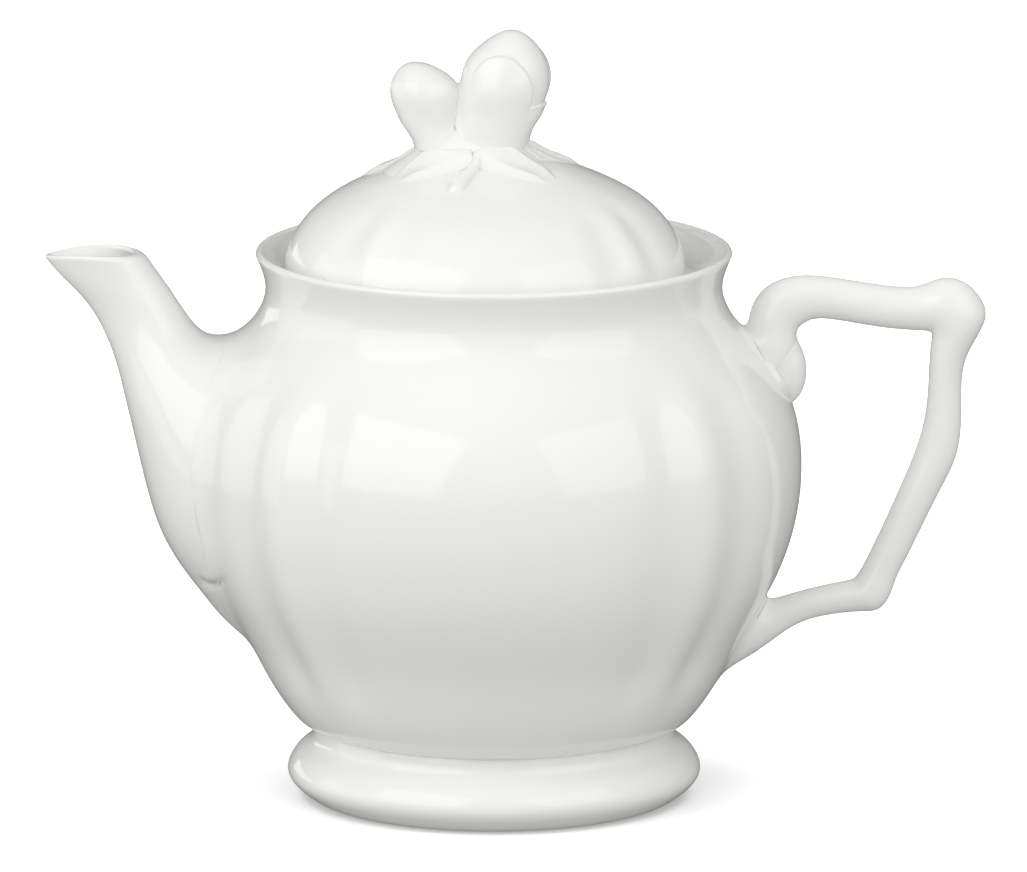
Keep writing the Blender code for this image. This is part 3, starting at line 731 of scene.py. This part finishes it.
def vent_pin():
    """Upright pin for the little vent hole behind the finial."""
    bm = bmesh.new()
    turned = bmesh.ops.create_cone(bm, cap_ends=True, segments=32, radius1=VENT_RADIUS * MM,
                                   radius2=VENT_RADIUS * MM,
                                   depth=VENT_PIN_LENGTH * MM)["verts"]
    turn = math.radians(VENT_ANGLE)
    bmesh.ops.translate(bm, verts=turned, vec=(
        (VENT_REACH * math.cos(turn) + LID_X) * MM, VENT_REACH * math.sin(turn) * MM,
        float(lid_top(VENT_REACH)) * MM))
    return bm


drill(lid, vent_pin())
flange_angles = np.linspace(0.0, 360.0, 200, endpoint=False)
flange_grid = revolve(even(spline(FLANGE_OUTLINE, 6), 60), flange_angles)
piece("lid_flange", flange_grid, LID_X, "lid", ["lid_flange"], closed=True)

# ---------------------------------------------------------------- finial
# Offsets along X are from the lid's axis.

def oval_stack(levels, rows, around=128, folds=None):
    """Closed grid through oval levels: middle x, middle y, height, half width, half depth.
    folds(turn, height) is the share by which the outline swells."""
    curve = even(spline(levels, 16), rows)
    turn = np.linspace(0.0, 2 * math.pi, around, endpoint=False)[None, :]
    swell = 1.0 if folds is None else 1 + folds(turn, curve[:, 2:3])
    x, y, z = np.broadcast_arrays(curve[:, 0:1] + curve[:, 3:4] * np.cos(turn) * swell,
                                  curve[:, 1:2] + curve[:, 4:5] * np.sin(turn) * swell,
                                  curve[:, 2:3])
    return np.stack([x, y, z], axis=-1)


STEM_X = -2.85
STEM_HALF = (13.5, 10.2)
STEM_SKIRT_RISE = 2.2
STEM_SKIRT_REACH = 3.4
STEM_LEVELS = [
    (STEM_X, 0.0, 151.6, 21.5, 19.0), (STEM_X, 0.0, 153.6, 18.6, 15.6), (STEM_X, 0.0, 155.2, 16.2, 12.8),
    (STEM_X, 0.0, 156.4, 14.6, 11.0), (STEM_X, 0.0, 157.3, 13.7, 9.9), (STEM_X, 0.0, 158.2, 13.4, 9.3),
    (STEM_X, 0.0, 159.0, 12.4, 8.6), (-4.0, 0.0, 159.8, 9.6, 7.6), (-6.0, 0.0, 161.0, 5.8, 6.3),
    (-6.8, 0.0, 162.4, 3.6, 5.2), (-7.0, 0.0, 163.8, 2.4, 4.2), (-7.0, 0.0, 165.0, 1.3, 2.8),
    (-7.0, 0.0, 165.8, 0.4, 0.9),
]
piece("finial_stem", oval_stack(STEM_LEVELS, 80), LID_X, "lid", ["finial_stem"])


def ground(x, y):
    """Height of the lid with the finial's spreading foot on it."""
    out = np.hypot((x - STEM_X) / STEM_HALF[0], y / STEM_HALF[1])
    beyond = np.clip(out - 1.0, 0.0, None) * 11.0
    skirt = STEM_SKIRT_RISE * np.exp(-(beyond / STEM_SKIRT_REACH) ** 1.5)
    return lid_top(np.hypot(x, y)) + skirt


LARGE_LEVELS = [
    (1.5, 0.0, 157.4, 8.9, 9.0), (2.0, 0.0, 160.6, 9.1, 9.2), (2.7, 0.0, 163.3, 9.5, 9.5),
    (3.5, 0.0, 166.4, 10.0, 9.9), (4.3, 0.0, 170.2, 10.5, 10.4), (4.9, 0.1, 174.0, 10.5, 10.4),
    (5.1, 0.2, 177.5, 9.8, 9.7), (5.4, 0.3, 180.2, 8.3, 8.4), (5.9, 0.4, 182.6, 6.1, 6.4),
    (6.2, 0.4, 184.3, 3.9, 4.2), (6.3, 0.4, 185.2, 2.1, 2.3), (6.3, 0.4, 185.5, 0.9, 1.0),
    (6.3, 0.4, 185.55, 0.2, 0.2),
]
SMALL_LEVELS = [
    (-12.0, 0.0, 157.4, 4.8, 7.6), (-12.4, 0.0, 159.8, 5.2, 7.4), (-13.3, 0.0, 162.8, 6.3, 7.4),
    (-13.95, -0.2, 166.3, 7.4, 7.6), (-14.35, -0.3, 169.9, 8.1, 8.0), (-14.6, -0.3, 172.8, 7.7, 7.6),
    (-15.2, -0.3, 175.2, 6.0, 6.1), (-15.9, -0.2, 176.8, 4.0, 4.2), (-16.3, -0.2, 177.6, 2.2, 2.4),
    (-16.5, -0.2, 177.85, 1.0, 1.0), (-16.5, -0.2, 177.9, 0.2, 0.2),
]
LARGE_CURVE = even(spline(LARGE_LEVELS, 30), 400)


def bud_folds(turn, z):
    """Shallow pleats that run up the bud towards its tip."""
    return 0.012 * np.cos(3 * turn + 0.8 + 0.04 * (z - 160.0)) * ramp(z, 161.0, 168.0)


def small_folds(turn, z):
    """Wrapped petals: three soft ridges that wind round the little bud."""
    wave = np.cos(3 * turn + 0.16 * (z - 160.0) + 0.3)
    return 0.030 * (np.abs(wave) ** 1.5 - 0.5) * ramp(z, 163.0, 170.0) * (1 - ramp(z, 175.0, 178.2))


large_grid = oval_stack(LARGE_LEVELS, 120, 160, bud_folds)
small_grid = oval_stack(SMALL_LEVELS, 100, 144, small_folds)
large_field = surface_field(large_grid, (4.0, 0.0, 172.0))
small_field = surface_field(small_grid, (-14.0, 0.0, 170.0))


def crease(points):
    """Width of the glazed crease between the buds, which is widest low down at the stem."""
    return 3.0 + 7.0 * (1 - ramp(points[..., 2], 157.0, 174.0))


large_met = weld(large_grid, large_grid[..., 0] < 3.0, large_field, small_field, crease)
small_met = weld(small_grid, small_grid[..., 0] > -16.0, small_field, large_field, crease)
piece("large_bud", large_met, LID_X, "lid", ["large_bud"])
piece("small_bud", small_met, LID_X, "lid", ["small_bud"])


def on_bud(curve, angle, z, grow=0.0):
    """Point on a bud at an angle in degrees and a height, or that far outside it."""
    row = [np.interp(z, curve[:, 2], curve[:, k]) for k in range(5)]
    turn = np.radians(angle)
    lean = (row[3] - np.interp(z + 0.3, curve[:, 2], curve[:, 3])) / 0.3
    steep = np.sqrt(1 + lean ** 2)
    out = grow / steep
    return np.stack([row[0] + (row[3] + out) * np.cos(turn), row[1] + (row[4] + out) * np.sin(turn),
                     z + grow * lean / steep], axis=-1)


def petal_grid(curve, middle, half_angle, low, high, thickness, skew=0.0, square=2.4, rim=0.2,
               sink=1.0, soft=0.86, fade=(-0.9, 0.2), left_fade=None):
    """Petal pressed on a bud: arched top edge with a soft rim, lower end dying away."""
    centre = (low + high) / 2
    half = (high - low) / 2

    def place(u, v):
        z = np.clip(centre + v, 157.6, 185.3)
        angle = middle + u + skew * v
        spot = on_bud(curve, angle, z)
        normal = on_bud(curve, angle, z, 1.0) - spot
        return spot, normal / np.linalg.norm(normal, axis=-1, keepdims=True)

    def outline(theta):
        c, s = np.cos(theta), np.sin(theta)
        reach = (np.abs(c) ** square + np.abs(s) ** square) ** (-1 / square)
        return half_angle * reach * c * (1 - 0.10 * s), half * reach * s

    def detail(u, v, s):
        keep = ramp(v, fade[0] * half, fade[1] * half)
        if left_fade is not None:
            keep = keep * ramp(u, left_fade[0] * half_angle, left_fade[1] * half_angle)
        flat = thickness * (1 - ramp(s, soft, 1.0))
        return rim * np.exp(-((s - soft) / 0.07) ** 2) * keep - flat * (1 - keep) * 0.98

    return patch(place, outline, thickness, sink=sink, rings=48, around=192, soft=soft,
                 detail=detail)


front_petal = petal_grid(LARGE_CURVE, 262.0, 51.0, 160.0, 181.2, 0.85, skew=-0.3, rim=0.16,
                         soft=0.85, fade=(-0.6, 0.3), left_fade=(-1.0, -0.3))
back_petal = petal_grid(LARGE_CURVE, 72.0, 88.0, 165.0, 184.2, 0.45, skew=0.8, rim=0.06, soft=0.74)
sepal = petal_grid(LARGE_CURVE, 338.0, 50.0, 158.6, 168.9, 0.62, square=3.2, rim=0.16,
                   fade=(-0.5, 0.6), left_fade=(-0.9, 0.1))
for name, grid, nodes in [("large_bud_front_petal", front_petal, ["large_bud_front_petal"]),
                          ("large_bud_back_petal", back_petal, ["large_bud_back_petal"]),
                          ("large_bud_sepal", sepal, [])]:
    piece(name, grid, LID_X, "lid", nodes)


def leaf_grid(root, tip, half_width, bend, rise, blunt, sink=2.6, rows=72, across=41):
    """Thick leaf that comes out from under the finial and drapes over the lid, with soft
    edges, a sunken midrib and a blunt or pointed tip."""
    root = np.array(root, dtype=float)
    tip = np.array(tip, dtype=float)
    axis = tip - root
    length = np.linalg.norm(axis)
    axis /= length
    side = np.array([-axis[1], axis[0]])
    grid = []
    for s in np.sin(np.linspace(0.02, math.pi / 2, rows)):
        end = (1 - s ** blunt) ** 0.5 if s < 1 else 0.0
        width = half_width * (0.66 + 0.34 * math.sin(math.pi * min(1.0, 0.10 + s * 0.75))) * end + 0.06
        t = np.linspace(-1.0, 1.0, across)
        centre = root + axis * length * s + side * bend * s * s
        flat = centre[None, :] + side[None, :] * (t * width)[:, None]
        z = ground(flat[:, 0], flat[:, 1])
        edge = (1 - ramp(np.abs(t), 0.34, 1.0)) * float(1 - ramp(s, 0.70, 1.0))
        crown = rise * edge * float(ramp(s, -0.18, 0.24)) - 0.06
        crown = crown + (0.26 * np.exp(-((np.abs(t) - 0.54) / 0.18) ** 2)
                         - 0.20 * np.exp(-(t / 0.30) ** 2)) * edge * ramp(s, 0.05, 0.45)
        top = np.stack([flat[:, 0], flat[:, 1], z + crown], axis=1)
        under = 1 - t ** 6
        bottom = np.stack([flat[:, 0], flat[:, 1], z - sink * under - 0.14], axis=1)[::-1]
        grid.append(np.concatenate([top, bottom[1:-1]]))
    return np.array(grid)


# Each leaf has its root and tip in x, y, half a width, a sideways bend, a rise and a bluntness.
LEAVES = [
    ("leaf_front_left", (-3.4, -7.6), (-21.8, -12.2), 7.4, -0.8, 0.95, 4.5),
    ("leaf_front_right", (-1.4, -7.8), (17.0, -17.4), 7.0, 1.0, 0.95, 4.5),
    ("leaf_left", (-11.0, 2.0), (-31.0, 9.5), 7.8, -1.4, 1.05, 2.6),
    ("leaf_right", (5.0, 3.0), (24.0, 10.0), 7.8, 1.0, 1.05, 2.8),
    ("leaf_back", (-2.0, 6.0), (-4.0, 28.0), 7.2, 1.0, 1.0, 2.4),
]
for name, *form in LEAVES:
    piece(name, leaf_grid(*form), LID_X, "lid", [name])


def tube(path, segments=40, steps=12):
    """Round tube through x, y, z, radius points, with a rounded end."""
    curve = spline(path, steps)
    direction = np.gradient(curve[:, :3], axis=0)
    direction /= np.linalg.norm(direction, axis=1, keepdims=True)
    side = np.cross(direction, np.array([0.0, 0.0, 1.0]))
    side /= np.linalg.norm(side, axis=1, keepdims=True)
    other = np.cross(side, direction)
    turn = np.linspace(0.0, 2 * math.pi, segments, endpoint=False)
    rows = []
    for k in range(len(curve)):
        rows.append(curve[k, :3] + curve[k, 3] * (np.outer(np.cos(turn), side[k])
                                                  + np.outer(np.sin(turn), other[k])))
    for q in (0.35, 0.65, 0.87, 0.98):
        rows.append(curve[-1, :3] + direction[-1] * curve[-1, 3] * q + curve[-1, 3]
                    * math.sqrt(1 - q * q) * (np.outer(np.cos(turn), side[-1])
                                              + np.outer(np.sin(turn), other[-1])))
    return np.array(rows)


# The curl's middle line in x, y, with its radius.
CURL_PLAN = [(-1.0, -9.8, 0.7), (-1.8, -12.6, 1.1), (-3.2, -16.0, 1.7), (-5.0, -19.2, 2.2),
             (-6.1, -21.4, 2.4), (-6.6, -22.8, 2.2)]
curl_path = [(x, y, float(ground(x, y)) - r * 0.30, r) for x, y, r in CURL_PLAN]
piece("stem_curl", tube(curl_path), LID_X, "lid", ["stem_curl"])


# ---------------------------------------------------------------- materials

def porcelain(name, seed):
    """White hard-paste porcelain under a clear glaze: faint tint drift, fine specks, and a
    gentle unevenness of the glaze."""
    material = bpy.data.materials.new(name)
    material.use_nodes = True
    tree = material.node_tree
    nodes, links = tree.nodes, tree.links
    shader = nodes["Principled BSDF"]
    coords = nodes.new("ShaderNodeTexCoord")
    shift = nodes.new("ShaderNodeMapping")
    shift.inputs["Location"].default_value = (seed, seed * 0.7, seed * 1.3)
    links.new(coords.outputs["Object"], shift.inputs["Vector"])

    drift = nodes.new("ShaderNodeTexNoise")
    drift.inputs["Scale"].default_value = 22.0
    drift.inputs["Detail"].default_value = 3.0
    links.new(shift.outputs["Vector"], drift.inputs["Vector"])
    tint = nodes.new("ShaderNodeValToRGB")
    tint.color_ramp.elements[0].position = 0.3
    tint.color_ramp.elements[0].color = (0.872, 0.876, 0.858, 1.0)
    tint.color_ramp.elements[1].position = 0.7
    tint.color_ramp.elements[1].color = (0.890, 0.892, 0.876, 1.0)
    links.new(drift.outputs["Fac"], tint.inputs["Fac"])

    specks = nodes.new("ShaderNodeTexVoronoi")
    specks.inputs["Scale"].default_value = 160.0
    links.new(shift.outputs["Vector"], specks.inputs["Vector"])
    dots = nodes.new("ShaderNodeValToRGB")
    dots.color_ramp.elements[0].position = 0.018
    dots.color_ramp.elements[0].color = (0.93, 0.925, 0.91, 1.0)
    dots.color_ramp.elements[1].position = 0.035
    dots.color_ramp.elements[1].color = (1.0, 1.0, 1.0, 1.0)
    links.new(specks.outputs["Distance"], dots.inputs["Fac"])
    mix = nodes.new("ShaderNodeMix")
    mix.data_type = "RGBA"
    mix.blend_type = "MULTIPLY"
    mix.inputs["Factor"].default_value = 1.0
    links.new(tint.outputs["Color"], mix.inputs["A"])
    links.new(dots.outputs["Color"], mix.inputs["B"])
    links.new(mix.outputs["Result"], shader.inputs["Base Color"])

    gloss = nodes.new("ShaderNodeTexNoise")
    gloss.inputs["Scale"].default_value = 60.0
    gloss.inputs["Detail"].default_value = 4.0
    links.new(shift.outputs["Vector"], gloss.inputs["Vector"])
    rough = nodes.new("ShaderNodeMapRange")
    rough.inputs["To Min"].default_value = 0.07
    rough.inputs["To Max"].default_value = 0.12
    links.new(gloss.outputs["Fac"], rough.inputs["Value"])
    links.new(rough.outputs["Result"], shader.inputs["Roughness"])

    waves = nodes.new("ShaderNodeTexNoise")
    waves.inputs["Scale"].default_value = 45.0
    waves.inputs["Detail"].default_value = 1.0
    links.new(shift.outputs["Vector"], waves.inputs["Vector"])
    bump = nodes.new("ShaderNodeBump")
    bump.inputs["Strength"].default_value = 0.25
    bump.inputs["Distance"].default_value = 0.0004
    links.new(waves.outputs["Fac"], bump.inputs["Height"])
    links.new(bump.outputs["Normal"], shader.inputs["Normal"])
    shader.inputs["IOR"].default_value = 1.5
    return material


pot_glaze = porcelain("pot_porcelain", 1.0)
lid_glaze = porcelain("lid_porcelain", 4.0)
for obj in list(bpy.context.scene.objects):
    if obj.type != "MESH":
        continue
    on_lid = body_of(obj) == "lid"
    if frame["nodes"].get(obj.name) is obj:
        for slot in obj.material_slots:
            slot.material = lid_glaze if on_lid else pot_glaze
    else:
        obj.data.materials.append(lid_glaze if on_lid else pot_glaze)


# ---------------------------------------------------------------- floor, light, camera

def make_floor():
    """Plain white floor that gives the pot no bounce light and shows in no reflection."""
    bm = bmesh.new()
    bmesh.ops.create_grid(bm, x_segments=2, y_segments=2, size=14.0)
    mesh = bpy.data.meshes.new("floor")
    bm.to_mesh(mesh)
    bm.free()
    floor = bpy.data.objects.new("floor", mesh)
    bpy.context.scene.collection.objects.link(floor)
    material = bpy.data.materials.new("floor_white")
    material.use_nodes = True
    shader = material.node_tree.nodes["Principled BSDF"]
    shader.inputs["Base Color"].default_value = (0.93, 0.93, 0.93, 1.0)
    shader.inputs["Roughness"].default_value = 0.9
    shader.inputs["Specular IOR Level"].default_value = 0.0
    mesh.materials.append(material)
    floor.visible_diffuse = False
    floor.visible_glossy = False
    return floor


floor = make_floor()


def area_light(name, position, target, width, height, radiance):
    """Rectangular soft light that faces a target."""
    data = bpy.data.lights.new(name, "AREA")
    data.shape = "RECTANGLE"
    data.size = width
    data.size_y = height
    data.energy = radiance * math.pi * width * height
    light = bpy.data.objects.new(name, data)
    light.location = position
    direction = Vector(target) - Vector(position)
    light.rotation_euler = direction.to_track_quat("-Z", "Y").to_euler()
    bpy.context.scene.collection.objects.link(light)
    return light


POT_MIDDLE = (0.0, 0.0, 0.09)
for name, position, width, height, radiance in [
        ("softbox_left", (-1.15, -1.15, 0.85), 1.7, 1.5, 1.30),
        ("softbox_right", (1.20, -1.05, 0.80), 1.5, 1.4, 0.95),
        ("side_fill", (-1.70, 0.15, 0.30), 1.3, 1.1, 0.65),
        ("edge_card", (-1.15, 1.15, 0.14), 0.9, 0.26, 1.00),
        ("back_fill", (0.3, 1.70, 1.75), 2.4, 1.4, 0.22)]:
    area_light(name, position, POT_MIDDLE, width, height, radiance)
floor_light = area_light("floor_fill", (0.0, 0.0, 3.0), (0.0, 0.0, 0.0), 5.0, 5.0, 2.4)
floor_only = bpy.data.collections.new("floor_only")
floor_only.objects.link(floor)
floor_light.light_linking.receiver_collection = floor_only

world = bpy.data.worlds.new("studio")
world.use_nodes = True
nodes, links = world.node_tree.nodes, world.node_tree.links
background = nodes["Background"]
coords = nodes.new("ShaderNodeTexCoord")
split = nodes.new("ShaderNodeSeparateXYZ")
links.new(coords.outputs["Generated"], split.inputs["Vector"])


def brightness_ramp(axis, start, end, first, last):
    """Smooth change of the surroundings' brightness along an axis."""
    node = nodes.new("ShaderNodeMapRange")
    node.interpolation_type = "SMOOTHSTEP"
    node.inputs["From Min"].default_value = start
    node.inputs["From Max"].default_value = end
    node.inputs["To Min"].default_value = first
    node.inputs["To Max"].default_value = last
    links.new(split.outputs[axis], node.inputs["Value"])
    return node.outputs["Result"]


product = nodes.new("ShaderNodeMath")
product.operation = "MULTIPLY"
links.new(brightness_ramp("Z", -0.25, 0.35, 0.50, 0.84), product.inputs[0])
links.new(brightness_ramp("Y", -0.3, 0.9, 1.0, 0.30), product.inputs[1])
background.inputs["Color"].default_value = (1.0, 1.0, 0.995, 1.0)
links.new(product.outputs["Value"], background.inputs["Strength"])
bpy.context.scene.world = world
bpy.context.scene.view_settings.view_transform = "Standard"

# Metres, millimetres of lens and degrees: a long lens, a little above the pot.
CAMERA_ASIDE = 0.00466
CAMERA_DISTANCE = 4.0
CAMERA_HEIGHT = 0.9021
CAMERA_LENS = 599.223
CAMERA_TILT = 11.516
camera_data = bpy.data.cameras.new("camera")
camera_data.sensor_width = 36.0
camera_data.lens = CAMERA_LENS
camera_data.clip_end = 100.0
camera = bpy.data.objects.new("camera", camera_data)
camera.location = (POT_X * MM + CAMERA_ASIDE, -CAMERA_DISTANCE, CAMERA_HEIGHT)
camera.rotation_euler = (math.radians(90.0 - CAMERA_TILT), 0.0, 0.0)
bpy.context.scene.collection.objects.link(camera)
bpy.context.scene.camera = camera
